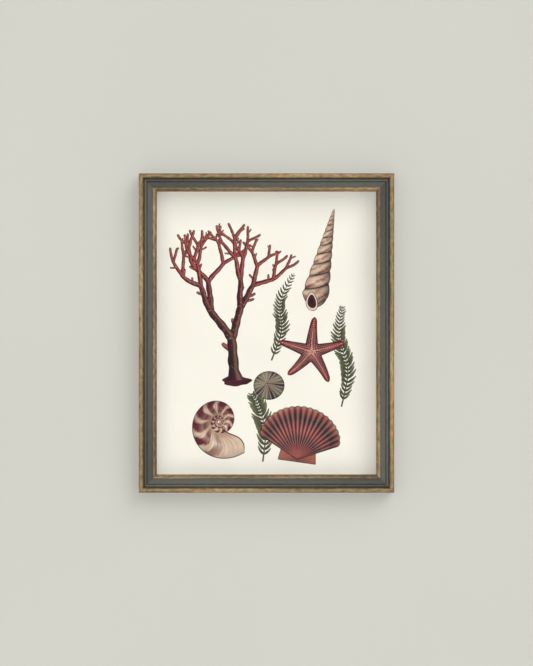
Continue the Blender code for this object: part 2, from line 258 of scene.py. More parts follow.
def moulding_finish():
    """Brushed gold and charcoal paint, mottled and streaked along the rail, with painted light and
    shade in its zones and on each rail.
    """
    paint = Finish("gold_and_charcoal_paint")
    place = paint.uv("grain")
    across = paint.split(place)[1]
    edge_noise = paint.noise(place, (110.0, 300.0, 1.0))
    wobble = paint.maths("MULTIPLY_ADD", edge_noise, 1.1 * MM, -0.55 * MM)
    zone = paint.spread(paint.maths("ADD", across, wobble), ZONE_LOW * MM, ZONE_HIGH * MM)
    colour, gold = paint.ramp(zone, zone_stops())

    # Slow changes along the rail, other for the ridge, the charcoal and the lip; the span map also
    # brings painted light for each rail's side and for how its faces turn
    share, rail_painted_light, _ = paint.split(paint.uv("span"))
    tones = []
    for stops in (CHARCOAL_TONES, RIDGE_TONES, LIP_TONES):
        stops = [(at, (*[tone / TOP_TONE] * 3, 1.0)) for at, tone in stops]
        tones.append(paint.ramp(share, stops)[0])
    charcoal_tone, ridge_tone, lip_tone = tones
    on_lip = paint.maths("GREATER_THAN", across, LIP_PLACE)
    gold_tone = paint.mix(on_lip, ridge_tone, lip_tone)
    colour = paint.times(colour, paint.mix(gold, charcoal_tone, gold_tone))

    # Patches, brush streaks and tints
    patches = paint.noise(place, (95.0, 260.0, 1.0), 3.0, 0.6)
    patches = paint.spread(patches, 0.3, 0.7)
    broad = paint.noise(place, (26.0, 420.0, 1.0), 3.0, 0.6, 0.3)
    fine = paint.noise(place, (120.0, 2600.0, 1.0), 2.0, 0.6)
    streak = paint.spread(paint.between(0.4, broad, fine), 0.32, 0.68)
    gold_light = paint.maths("MULTIPLY_ADD", patches, 0.90, 0.33)
    gold_light = paint.maths("MULTIPLY_ADD", streak, 0.50, gold_light)
    dark_light = paint.maths("MULTIPLY_ADD", patches, 0.24, 0.83)
    dark_light = paint.maths("MULTIPLY_ADD", streak, 0.16, dark_light)
    light = paint.maths("MULTIPLY", paint.between(gold, dark_light, gold_light), TOP_TONE * TOP_TINT)
    # Painted light and shade for each rail's side and for how its faces turn, with the patches and
    # streaks
    colour = paint.times(colour, paint.grey(paint.maths("MULTIPLY", light, rail_painted_light)))
    hue = paint.noise(place, (75.0, 190.0, 1.0))
    tints = []
    for stops in (CHARCOAL_TINTS, GOLD_TINTS):
        stops = [(at, (*[channel / TOP_TINT for channel in tint], 1.0)) for at, tint in stops]
        tints.append(paint.ramp(hue, stops)[0])
    colour = paint.times(colour, paint.mix(gold, *tints))

    # Fine brush hairs, rubbed places and dark specks in the gold
    hairs = paint.noise(place, (260.0, 6200.0, 1.0), 4.0, 0.75)
    hairs = paint.maths("MULTIPLY", paint.spread(hairs, 0.36, 0.64), paint.between(gold, 0.10, 0.46))
    hair_light = paint.maths("ADD", hairs, paint.between(gold, 0.95, 0.77))
    colour = paint.times(colour, paint.grey(hair_light))
    rubbed = paint.noise(place, (34.0, 700.0, 1.0), 4.0, 0.7)
    rubbed = paint.maths("MULTIPLY", paint.spread(rubbed, 0.57, 0.70), 0.55)
    specks = paint.noise(place, (620.0, 1100.0, 1.0), 3.0, 0.6)
    specks = paint.maths("MULTIPLY", paint.spread(specks, 0.64, 0.69), 0.65)
    bare = paint.maths("MULTIPLY", paint.maths("MAXIMUM", rubbed, specks), gold)
    colour = paint.mix(bare, colour, srgb(84, 60, 42))

    paint.drive("Base Color", colour)
    paint.drive("Metallic", paint.maths("MULTIPLY", gold, 0.25))
    paint.drive("Roughness", paint.maths("MULTIPLY_ADD", streak, -0.14, 0.58))
    paint.bump(paint.maths("ADD", streak, hairs), 0.06 * MM, 0.6)
    return paint.material


STAIN_REACH = 12.0 * MM


def raw_wood_finish():
    """Bare pale timber, where the back and the rabbet are unpainted."""
    wood = Finish("bare_timber", Roughness=0.72)
    place = wood.uv("grain")
    warp = wood.noise(place, (14.0, 90.0, 1.0), 3.0)
    grain = wood.noise(place, (22.0, 900.0, 1.0), 5.0, 0.65, 0.4)
    pores = wood.noise(place, (300.0, 7000.0, 1.0), 1.0)
    colour, _ = wood.ramp(wood.between(0.35, grain, warp), [
        (0.36, srgb(146, 110, 70)), (0.47, srgb(186, 152, 106)), (0.60, srgb(212, 184, 140)),
    ])
    dark_pores = wood.maths("MULTIPLY", wood.spread(pores, 0.58, 0.72), 0.5)
    colour = wood.mix(dark_pores, colour, srgb(112, 82, 52))
    stain, _ = wood.ramp(wood.spread(wood.uv("joint"), 0.0, STAIN_REACH), [
        (0.03, srgb(118, 104, 90)), (0.10, srgb(214, 206, 196)), (1.0, srgb(255, 255, 255)),
    ])
    wood.drive("Base Color", wood.times(colour, stain))
    wood.bump(wood.maths("ADD", grain, wood.maths("MULTIPLY", pores, 0.4)), 0.05 * MM, 0.5)
    return wood.material


# Painted shade: how much darker the sheet is painted inward from its left, right, bottom and top edge,
# as if shaded by the rails, as stops of (millimetres, tone), and how far the shades of two edges don't
# add up where they meet
PAINTED_EDGE_SHADE = (
    ((0, 0.15), (8, 0.14), (13, 0.115), (18, 0.085), (24, 0.042), (32, 0.014), (45, 0.0)),
    ((0, 0.10), (7, 0.12), (12, 0.17), (17, 0.178), (23, 0.14), (31, 0.077), (40, 0.033), (52, 0.0)),
    ((0, 0.09), (4, 0.10), (9, 0.155), (14, 0.125), (25, 0.07), (33, 0.033), (41, 0.018), (55, 0.0)),
    (
        (0, 0.04), (4, 0.055), (8, 0.12), (12, 0.168), (17, 0.188), (23, 0.176), (30, 0.135),
        (49, 0.04), (62, 0.0),
    ),
)
EDGE_SHADE_REACH = 64.0
EDGE_SHADE_TINT = (1.0, 0.97, 0.93)
CORNER_SOFTNESS = 0.3


def paper_finish(low, high):
    """Cream art paper with a fibre tooth, painted shade that darkens it towards its edges, and granular
    inks on it.
    """
    paper = Finish("printed_art_paper", Specular_IOR_Level=0.1)
    place = paper.place()
    mottle = paper.noise(place, 9.0, 4.0)
    fibre = paper.noise(place, 1500.0)
    colour, _ = paper.ramp(mottle, [(0.35, srgb(242, 237, 226)), (0.62, srgb(245, 241, 230))])

    # Painted shade towards the four edges, softened where two of them meet
    across, _, up = paper.split(place)
    starts = ((across, low.x, 1), (across, high.x, -1), (up, low.z, 1), (up, high.z, -1))
    shades = []
    for (coordinate, start, way), tones in zip(starts, PAINTED_EDGE_SHADE):
        distance = paper.spread(coordinate, start, start + way * EDGE_SHADE_REACH * MM)
        stops = []
        for millimetres, tone in tones:
            left = tuple(1 - tone * channel for channel in EDGE_SHADE_TINT)
            stops.append((millimetres / EDGE_SHADE_REACH, (*left, 1.0)))
        shades.append(paper.ramp(distance, stops)[0])
    sides, ends = paper.times(*shades[:2]), paper.times(*shades[2:])
    both, darker = paper.times(sides, ends), paper.mix(1.0, sides, ends, "DARKEN")
    colour = paper.times(colour, paper.mix(CORNER_SOFTNESS, both, darker))

    ink = paper.tree.nodes.new("ShaderNodeAttribute")
    ink.attribute_name = "ink"
    wash = paper.maths("MULTIPLY_ADD", paper.noise(place, 60.0, 3.0), 0.44, 0.66)
    pigment = paper.times(ink.outputs["Color"], paper.grey(wash))
    grains = paper.noise(place, 900.0, 3.0, 0.7)
    cover = paper.maths("MULTIPLY", ink.outputs["Alpha"], paper.spread(grains, 0.3, 0.6, 0.98, 1.0))
    paper.drive("Base Color", paper.mix(cover, colour, pigment))
    paper.drive("Roughness", paper.spread(cover, 0.0, 1.0, 0.88, 0.76))
    paper.bump(fibre, 0.03 * MM, 0.5)
    return paper.material


def glass_finish():
    """Coated glass that hardly reflects, which a low index of refraction gives."""
    glass = Finish("clear_glass", Roughness=0.0, IOR=1.25, Transmission_Weight=1.0)
    glass.shader.inputs["Base Color"].default_value = (0.985, 0.995, 0.99, 1.0)
    return glass.material


FIBRE_WAYS = (15.0, 60.0, 105.0, 150.0)


def board_finish():
    """Hardboard with its rough side out, pressed by a fine screen."""
    board = Finish("brown_hardboard", Roughness=0.78)
    place = board.place()
    fibre = 0.0
    for angle in FIBRE_WAYS:
        inputs = {"Vector": place, "Angle": radians(angle)}
        way = board.add("ShaderNodeVectorRotate", inputs, rotation_type="Y_AXIS")
        strands = board.noise(way, (380.0, 900.0, 1500.0), 4.0, 0.75, 0.8)
        fibre = board.maths("MULTIPLY_ADD", strands, 1.0 / len(FIBRE_WAYS), fibre)
    colour, _ = board.ramp(board.between(0.05, fibre, board.noise(place, 11.0)), [
        (0.42, srgb(84, 60, 40)), (0.50, srgb(124, 92, 64)), (0.57, srgb(154, 122, 90)),
    ])
    board.drive("Base Color", colour)
    screen = []
    for direction in ("X", "Z"):
        inputs = {"Vector": place, "Scale": 320.0}
        screen.append(board.add("ShaderNodeTexWave", inputs, 1, bands_direction=direction))
    weave = board.maths("MULTIPLY", *screen)
    board.bump(board.maths("MULTIPLY_ADD", fibre, 0.5, weave), 0.12 * MM, 0.8)
    return board.material


def steel_finish():
    """Zinc-plated steel, lightly brushed and a little stained."""
    steel = Finish("zinc_plated_steel", Metallic=1.0)
    place = steel.place()
    brush = steel.noise(place, (300.0, 300.0, 5000.0))
    stain = steel.noise(place, 420.0, 4.0, 0.65)
    colour, _ = steel.ramp(stain, [(0.34, srgb(150, 150, 146)), (0.62, srgb(196, 197, 196))])
    steel.drive("Base Color", colour)
    steel.drive("Roughness", steel.spread(stain, 0.3, 0.7, 0.46, 0.26))
    steel.bump(brush, 0.02 * MM, 0.5)
    return steel.material


def rubber_finish():
    rubber = Finish("black_rubber")
    place = rubber.place()
    grain = rubber.noise(place, 2500.0)
    dust = rubber.noise(place, 350.0, 3.0)
    colour, _ = rubber.ramp(dust, [(0.40, srgb(34, 33, 32)), (0.72, srgb(64, 62, 59))])
    rubber.drive("Base Color", colour)
    rubber.drive("Roughness", rubber.spread(dust, 0.3, 0.7, 0.55, 0.8))
    rubber.bump(grain, 0.03 * MM, 0.6)
    return rubber.material


def drifting_paint(name, scale, detail, dark, light, **constants):
    """Flat paint whose colour drifts a little, as a Finish."""
    paint = Finish(name, **constants)
    tone = paint.noise(paint.place(), scale, detail)
    paint.drive("Base Color", paint.ramp(tone, [(0.3, dark), (0.7, light)])[0])
    return paint


def declare(piece, slot, node):
    """Makes a piece part of the object, in place of a CAD node."""
    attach(piece, "root")
    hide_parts(node)
    return piece


def new_object(name, data, *materials):
    obj = bpy.data.objects.new(name, data)
    bpy.context.scene.collection.objects.link(obj)
    for finish in materials:
        data.materials.append(finish)
    return obj


def mesh_of(name, bm):
    mesh = bpy.data.meshes.new(name)
    bm.to_mesh(mesh)
    bm.free()
    return mesh


WELD = 0.005 * MM
SHARP_TURN = radians(32)


def cad_shape(node):
    """A copy of a CAD node's shape, its doubled corners joined."""
    bm = bmesh.new()
    bm.from_mesh(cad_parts[node].data)
    bmesh.ops.remove_doubles(bm, verts=bm.verts, dist=WELD)
    return bm


def arc(centre, radii, start, end, steps, power=2.0):
    """Points on a superellipse, whose power is 2 for an ellipse; angles are in degrees."""
    points = []
    for i in range(steps + 1):
        turn = radians(start + (end - start) * i / steps)
        c, s = round(cos(turn), 12), round(sin(turn), 12)
        across = copysign(abs(c) ** (2 / power), c)
        rise = copysign(abs(s) ** (2 / power), s)
        points.append((centre[0] + radii[0] * across, centre[1] + radii[1] * rise))
    return points


def rounded(points, radius, sharp=25.0, steps=3):
    """A closed line of points, with an arc in place of each corner that turns by over sharp degrees."""
    line = []
    count = len(points)
    for i, point in enumerate(points):
        here = Vector(point)
        back, ahead = Vector(points[i - 1]) - here, Vector(points[(i + 1) % count]) - here
        if min(back.length, ahead.length) < TINY:
            continue
        if degrees(pi - back.angle(ahead)) < sharp:
            line.append(tuple(here))
            continue
        reach = min(radius, 0.45 * back.length, 0.45 * ahead.length)
        start, end = here + back.normalized() * reach, here + ahead.normalized() * reach
        for step in range(steps + 1):
            share = step / steps
            line.append(tuple(start.lerp(here, share).lerp(here.lerp(end, share), share)))
    return line


def moulding_section():
    """The rail's section as (across, height) points: outer side, face, sight edge, rabbet, back."""
    points = [(0.0, 0.0), (0.0, 8.0 * MM), (0.0, 16.0 * MM)]
    ridge = RIDGE_WIDTH / 2
    points += arc((ridge, SIDE_HEIGHT), (ridge, RIDGE_RISE), 180, 0, 28, RIDGE_POWER)
    points += [(RIDGE_WIDTH, OUTER_GROOVE_FLOOR), (BEAD_START, OUTER_GROOVE_FLOOR)]
    bead = (BEAD_END - BEAD_START) / 2
    points += arc((BEAD_START + bead, BEAD_FOOT), (bead, BEAD_RISE), 180, 0, 12)
    points += [(BEAD_END, INNER_GROOVE_FLOOR), (COVE_START, INNER_GROOVE_FLOOR)]
    steps = 12
    for i in range(steps + 1):
        share = i / steps
        slope = COVE_TOP + (COVE_FOOT - COVE_TOP) * share
        across = COVE_START + (COVE_END - COVE_START) * share
        points.append((across, slope - COVE_SAG * sin(pi * share)))
    crest = COVE_END + LIP_SHOULDER
    points += arc((crest, LIP_STEP), (LIP_SHOULDER, LIP_CREST - LIP_STEP), 180, 90, 7)
    nose = (RAIL_WIDTH - crest, LIP_CREST - SIGHT_EDGE_TOP)
    points += arc((crest, SIGHT_EDGE_TOP), nose, 90, 0, 12)[1:]
    wall = RAIL_WIDTH - RABBET_WIDTH
    points += [(RAIL_WIDTH, RABBET_DEPTH), (wall, RABBET_DEPTH), (wall, 0.0)]
    return rounded(points, EDGE_RADIUS)


def place_on_section(across, height):
    """How far a point lies along the painted face, which starts at the ridge's outer foot."""
    if across < OUTER_BAND and height < SIDE_HEIGHT:
        return height - SIDE_HEIGHT
    if across > RAIL_WIDTH - OUTER_BAND and height < SIGHT_EDGE_TOP:
        return RAIL_WIDTH + SIGHT_EDGE_TOP - height
    return across


def is_bare(across, height):
    """True for the rabbet and the back, which aren't painted."""
    in_rabbet = across > RAIL_WIDTH - RABBET_WIDTH - EDGE_RADIUS and height < RABBET_DEPTH + TINY
    return in_rabbet or height < BACK_BAND


# Wear of the paint: how long and wide its features are, in metres, and how deep they go
UNEVEN_SIZE = (0.045, 0.006)
UNEVEN_DEPTH = 0.035 * MM
KNOCK_SIZE = (0.007, 0.0022)
KNOCK_DEPTH = 0.35 * MM
KNOCK_LEVEL = 0.52


def wear_at(along, place, seed):
    """How deep the paint is worn or dented there: a soft unevenness, and a few small knocks."""
    soft = noise.noise(Vector((along / UNEVEN_SIZE[0], place / UNEVEN_SIZE[1], seed)))
    knock = noise.noise(Vector((along / KNOCK_SIZE[0], place / KNOCK_SIZE[1], seed + 9.0)))
    return UNEVEN_DEPTH * (soft + 1) + KNOCK_DEPTH * max(0.0, knock - KNOCK_LEVEL)


SLOT_GAP = 0.1 * MM
TOP_BAND = 0.1 * MM
CUT_PAST_BACK = 1.0 * MM


def grown_copy(node):
    """A CAD node's shape grown on all sides, to cut with; a corner nail's goes out at the back."""
    bm = cad_shape(node)
    bmesh.ops.recalc_face_normals(bm, faces=bm.faces)
    bm.normal_update()
    moves = [(vert, vert.normal * vert.calc_shell_factor() * SLOT_GAP) for vert in bm.verts]
    for vert, move in moves:
        vert.co += move
    if node.startswith("corner_nail"):
        top = max(vert.co.y for vert in bm.verts)
        for vert in bm.verts:
            if vert.co.y > top - TOP_BAND:
                vert.co.y = BACK_Y + CUT_PAST_BACK
    return bm


def slot_cutter(side, finishes):
    """Everything that is let into one rail, joined in one hidden cutter."""
    low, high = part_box(f"rail_{side}")
    joined = bpy.data.meshes.new(f"slots_{side}")
    whole = bmesh.new()
    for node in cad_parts:
        if not node.startswith(("corner_nail", "framing_point", "hanger_nail")):
            continue
        node_low, node_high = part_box(node)
        if all(node_low[i] < high[i] and node_high[i] > low[i] for i in range(3)):
            part = grown_copy(node)
            part.to_mesh(joined)
            part.free()
            whole.from_mesh(joined)
    whole.to_mesh(joined)
    whole.free()
    return new_object(f"slots_{side}", joined, *finishes)


STATION_LENGTH = 5.0 * MM
# How far the painted shade on faces that turn outward may grow
FACING_LIGHT_LIMIT = -0.7

# Each rail clockwise: its turn, then how light it is, a painted light for the side it is on, and how
# much lighter it is painted where it faces inward, a painted light and shade that follows its faces
RAILS = {
    "top": (0, 0.98, 0.30), "right": (90, 1.03, 0.35), "bottom": (180, 0.95, 0.02),
    "left": (270, 1.01, -0.10),
}


def rail_mesh(side, turn, length, edge, tone, facing_light, seed):
    """One mitred rail with a fine section, worn along its face.

    Its paint is lighter by tone, a painted light for the rail's side, and by a second amount more where
    it faces inward than where it faces outward, a painted light and shade that follows how each face
    turns, with no more of that on the frame's outer side.
    """
    section = moulding_section()
    half_gap = MITRE_GAP / 2 * sqrt(2)
    stations = round(length / STATION_LENGTH)
    place = Matrix.Translation(CENTRE) @ Matrix.Rotation(radians(turn), 4, "Y")
    count = len(section)
    bm = bmesh.new()
    maps = [bm.loops.layers.uv.new(name) for name in ("grain", "span", "joint")]
    rings, where = [], {}
    for step in range(stations + 1):
        share = 2 * step / stations - 1
        ring = []
        for i, (across, height) in enumerate(section):
            x = share * (length / 2 - across - half_gap)
            back, ahead = section[i - 1], section[(i + 1) % count]
            outward = Vector((back[1] - ahead[1], ahead[0] - back[0])).normalized()
            depth = 0.0
            if not is_bare(across, height):
                depth = wear_at(x + length, place_on_section(across, height), seed)
            worn_across, worn_height = across - outward.x * depth, height - outward.y * depth
            vert = bm.verts.new(place @ Vector((x, -worn_height, edge - worn_across)))
            ring.append(vert)
            # The span map carries the share along the rail and painted light: the rail's own, and more
            # where a face turns inward
            where[vert] = (
                (x + 10 * seed * length, place_on_section(across, height)),
                (x / length + 0.5, tone + facing_light * max(FACING_LIGHT_LIMIT, outward.x)),
                ((1 - abs(share)) * (length / 2 - across), 0.0),
            )
        rings.append(ring)
    bare = [is_bare(*point) for point in section]
    for first, second in zip(rings, rings[1:]):
        for i in range(count):
            j = (i + 1) % count
            face = bm.faces.new((first[i], first[j], second[j], second[i]))
            face.material_index = 1 if bare[i] and bare[j] else 0
            face.smooth = True
    for ring in (rings[0], rings[-1]):
        cap = bm.faces.new(ring)
        cap.material_index = 1
    for face in bm.faces:
        for loop in face.loops:
            for uv_map, uv in zip(maps, where[loop.vert]):
                loop[uv_map].uv = uv
    bmesh.ops.recalc_face_normals(bm, faces=bm.faces)
    return mesh_of(f"moulding_{side}", bm)


def cut_mesh(obj, cutter):
    """Takes cutter out of obj for good, and removes the cutter."""
    cut = obj.modifiers.new("slots", "BOOLEAN")
    cut.operation = "DIFFERENCE"
    cut.solver = "EXACT"
    cut.object = cutter
    bpy.context.view_layer.update()
    evaluated = obj.evaluated_get(bpy.context.evaluated_depsgraph_get())
    mesh = bpy.data.meshes.new_from_object(evaluated)
    obj.modifiers.clear()
    obj.data = mesh
    bpy.data.objects.remove(cutter)
    mesh.set_sharp_from_angle(angle=SHARP_TURN)


def add_rails():
    finishes = (moulding_finish(), raw_wood_finish())
    for seed, (side, (turn, tone, facing_light)) in enumerate(RAILS.items(), 1):
        length, reach = (HEIGHT, WIDTH) if turn % 180 else (WIDTH, HEIGHT)
        mesh = rail_mesh(side, turn, length, reach / 2, tone, facing_light, seed)
        rail = new_object(f"moulding_{side}", mesh, *finishes)
        cut_mesh(rail, slot_cutter(side, finishes))
        declare(rail, "moulding", f"rail_{side}")


def shade_by_area(mesh):
    """Smooth shading in which each corner follows its widest face, so that flat faces stay flat."""
    normals = [Vector() for _ in mesh.vertices]
    for face in mesh.polygons:
        for corner in face.vertices:
            normals[corner] += face.normal * face.area
    mesh.shade_smooth()
    mesh.normals_split_custom_set_from_vertices([normal.normalized() for normal in normals])


def softened_copy(node, name, width, finish, slot):
    """A piece of the CAD node's shape whose sharp edges are rounded, in the node's place."""
    bm = cad_shape(node)
    bmesh.ops.dissolve_limit(bm, angle_limit=radians(1), verts=bm.verts, edges=bm.edges)
    sharp = [edge for edge in bm.edges if edge.is_manifold and edge.calc_face_angle() > SHARP_TURN]
    bmesh.ops.bevel(bm, geom=sharp, offset=width, segments=2, profile=0.5, affect="EDGES")
    bmesh.ops.recalc_face_normals(bm, faces=bm.faces)
    mesh = mesh_of(name, bm)
    shade_by_area(mesh)
    return declare(new_object(name, mesh, finish), slot, node)


# Small pieces by the start of their CAD names: the start of the piece's name, its edges' radius, slot
FITTINGS = {
    "sawtooth_hanger": ("hanger_strip", 0.12 * MM, "zinc_steel"),
    "bumper": ("rubber_bumper", 0.1 * MM, "rubber"),
    "corner_nail": ("v_nail", 0.06 * MM, "zinc_steel"),
    "framing_point": ("flat_point", 0.08 * MM, "zinc_steel"),
    "hanger_nail": ("round_nail", 0.1 * MM, "zinc_steel"),
}


def add_fittings():
    finishes = {"zinc_steel": steel_finish(), "rubber": rubber_finish()}
    for start, (new_start, width, slot) in FITTINGS.items():
        for node in sorted(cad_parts):
            if node.startswith(start):
                name = node.replace(start, new_start)
                softened_copy(node, name, width, finishes[slot], slot)


# Inks of the printed plate
INK = srgb(18, 12, 20)
WINE = srgb(40, 12, 26)
BURGUNDY = srgb(82, 18, 38)
CRIMSON = srgb(138, 24, 44)
BRICK = srgb(156, 50, 46)
ROSE = srgb(184, 90, 78)
PEACH = srgb(210, 156, 122)
CREAM = srgb(238, 224, 202)
UMBER = srgb(82, 50, 34)
MOSS = srgb(50, 56, 34)
OLIVE = srgb(92, 94, 60)
SAGE = srgb(142, 148, 108)
SLATE = srgb(30, 44, 46)
PLUM = srgb(68, 34, 56)


def blend(first, second, share):
    share = min(1.0, max(0.0, share))
    return tuple(a + (b - a) * share for a, b in zip(first, second))


def layered(colour, *layers):
    """The colour under layers of (ink, share), painted one after the other."""
    for ink, share in layers:
        colour = blend(colour, ink, share)
    return colour


def gradient(stops, place):
    """The colour at a place along stops of (place, colour)."""
    for (low, first), (high, second) in zip(stops, stops[1:]):
        if place <= high:
            return blend(first, second, (place - low) / (high - low))
    return stops[-1][1]


def ripple(x, y, scale, seed=0.0):
    """Smooth noise from -1 to 1, whose features are about scale wide."""
    return noise.noise(Vector((x / scale, y / scale, seed)))


def peak(value, middle, width):
    """A smooth bump, 1 high at its middle."""
    return exp(-((value - middle) / width) ** 2)


def turned(x, y, angle, place):
    turn = radians(angle)
    c, s = cos(turn), sin(turn)
    return place[0] + x * c - y * s, place[1] + x * s + y * c


def onward(point, heading, reach):
    """The point that lies on from another, on a heading in degrees."""
    turn = radians(heading)
    return point[0] + reach * cos(turn), point[1] + reach * sin(turn)


def rim(shape, count, v=1.0):
    """The edge of a patch where v has one value."""
    return [shape(i / count, v) for i in range(count + 1)]


class Plate:
    """Painted patches in painting order, in millimetres from the sheet's middle."""

    def __init__(self):
        self.points = []
        self.inks = []
        self.faces = []

    def patch(self, shape, ink, nu, nv):
        """A grid of nu by nv cells; shape and ink take (u, v) from 0 to 1."""
        start = len(self.points)
        for j in range(nv + 1):
            for i in range(nu + 1):
                u, v = i / nu, j / nv
                self.points.append(shape(u, v))
                self.inks.append(ink(u, v))
        for j in range(nv):
            for i in range(nu):
                a = start + j * (nu + 1) + i
                self.add_face((a, a + 1, a + nu + 2, a + nu + 1))

    def add_face(self, corners):
        """Adds a face without its doubled corners, turned the right way, if any of it is left."""
        kept = []
        for corner in corners:
            if all(dist(self.points[corner], self.points[other]) > 0.02 for other in kept):
                kept.append(corner)
        if len(kept) < 3:
            return
        area = 0.0
        for a, b in zip(kept, kept[1:] + kept[:1]):
            area += self.points[a][0] * self.points[b][1] - self.points[b][0] * self.points[a][1]
        if abs(area) > 0.002:
            self.faces.append(tuple(kept if area > 0 else reversed(kept)))

    def stroke(self, path, width, ink, sides=1):
        """A brush stroke along path; width and ink may be functions of the share along it."""
        count = len(path) - 1

        def normal(i):
            a, b = path[max(0, i - 1)], path[min(count, i + 1)]
            length = dist(a, b) or 1.0
            return (a[1] - b[1]) / length, (b[0] - a[0]) / length

        normals = [normal(i) for i in range(count + 1)]

        def shape(u, v):
            i = round(v * count)
            half = (width(v) if callable(width) else width) / 2
            side = 2 * u - 1
            return (path[i][0] + normals[i][0] * half * side, path[i][1] + normals[i][1] * half * side)

        def colour(u, v):
            return ink(u, v) if callable(ink) else ink

        self.patch(shape, colour, sides, count)

    def knob(self, x, y, radius, light, dark, segments=6):
        """A bead lit from the upper left: a disc whose pale middle sits off its centre."""
        def shape(u, v):
            turn = tau * u
            reach = radius * v
            shift = 0.3 * radius * (1 - v)
            return x + reach * cos(turn) - shift, y + reach * sin(turn) + shift

        self.patch(shape, lambda u, v: dark if v else light, segments, 1)


def smooth_path(points, steps):
    """Points on a smooth curve through all the given points."""
    ends = [points[0], *points, points[-1]]
    path = []
    for i in range(len(points) - 1):
        a, b, c, d = ends[i:i + 4]
        for step in range(steps + (i == len(points) - 2)):
            t = step / steps
            path.append(tuple(
                0.5 * (2 * b[k] + (c[k] - a[k]) * t + (2 * a[k] - 5 * b[k] + 4 * c[k] - d[k]) * t * t
                       + (3 * b[k] - a[k] - 3 * c[k] + d[k]) * t ** 3)
                for k in (0, 1)
            ))
    return path


def point_on(path, share, width=0.0, side=0.0):
    """The point at a share along a path, set off to its left by side times half the width."""
    k = share * (len(path) - 1)
    i = min(int(k), len(path) - 2)
    a, b = path[i], path[i + 1]
    length = dist(a, b) or 1.0
    off = side * width / 2 / length
    return (
        a[0] + (b[0] - a[0]) * (k - i) + (a[1] - b[1]) * off,
        a[1] + (b[1] - a[1]) * (k - i) + (b[0] - a[0]) * off,
    )


def taper(share, start=0.06, end=0.25):
    """A width that grows from a point and thins out again."""
    return min(1.0, (share + 0.02) / start) ** 0.7 * min(1.0, (1.02 - share) / end) ** 0.7


def draw_scallop(plate, place, tilt, radius, seed):
    """A fan shell: ribs that end in a waved rim, colour bands across them, and two ears."""
    ribs, half_angle, hinge = 19, 64.0, -0.145

    def rib(u):
        return 0.5 - 0.5 * cos(tau * ribs * u)

    def at(u, v):
        side = 2 * u - 1
        reach = radius * (1 - 0.13 * side ** 2 - 0.06 * side ** 8 + 0.018 * rib(u))
        reach *= v * (1 + 0.10 * side ** 2 * (1 - v))
        angle = radians(90 - side * half_angle)
        x, y = 1.02 * reach * cos(angle), reach * sin(angle) - 0.10 * radius
        return turned(x, y, tilt, place)

    bands = (
        (0.0, BRICK), (0.12, ROSE), (0.26, CRIMSON), (0.42, BURGUNDY), (0.54, BRICK), (0.64, CRIMSON),
        (0.80, WINE), (0.89, CRIMSON), (0.955, ROSE), (1.0, PEACH),
    )

    def ink(u, v):
        side, lit = 2 * u - 1, rib(u)
        wave = 0.04 * ripple(u * 40, v * 6, 5.0, seed) + 0.012 * cos(tau * ribs * u)
        shade = max(0.0, side) ** 2 * 0.38 + max(0.0, -side) ** 3 * 0.22
        growth = 0.5 + 0.5 * sin(v * v * 58 + 2.0 * ripple(u * 9, v * 3, 1.0, seed + 4))
        return layered(
            gradient(bands, v + wave),
            (INK, (1 - lit) ** 2 * (0.30 + 0.35 * v)),
            (CREAM, lit ** 3 * 0.30 * (1 - abs(v - 0.6))),
            (WINE, 0.14 * growth + shade),
        )

    for side in (-1, 1):
        def ear(u, v):
            high = 0.02 + 0.05 * u + 0.012 * sin(5 * u)
            rise = hinge + (high - hinge) * v
            return turned(side * (0.36 * u - 0.03 * u * v) * radius, rise * radius, tilt, place)

        def ear_ink(u, v):
            line = 0.5 + 0.5 * cos(tau * 7 * v + u)
            return layered(PEACH, (BRICK, 0.4 + 0.5 * line), (WINE, 0.3 * (1 - v) + 0.3 * (1 - u)))

        plate.patch(ear, ear_ink, 9, 12)
        edge = rim(ear, 8, 0.0) + [ear(1.0, i / 5) for i in range(1, 6)]
        plate.stroke(edge, 1.1, INK)

    columns = ribs * 6
    plate.patch(
        lambda u, v: at(u, 0.03 + 0.97 * v), lambda u, v: ink(u, 0.03 + 0.97 * v), columns, 20,
    )
    for i in range(1, ribs):
        line = [at(i / ribs, 0.10 + 0.88 * k / 16) for k in range(17)]
        plate.stroke(line, lambda v: 0.25 + 0.75 * v, blend(INK, WINE, 0.35))
    plate.stroke(rim(at, columns), 1.1, INK)
    for u in (0.0, 1.0):
        plate.stroke([at(u, k / 14) for k in range(15)], lambda v: 1.3 - 0.3 * v, INK)


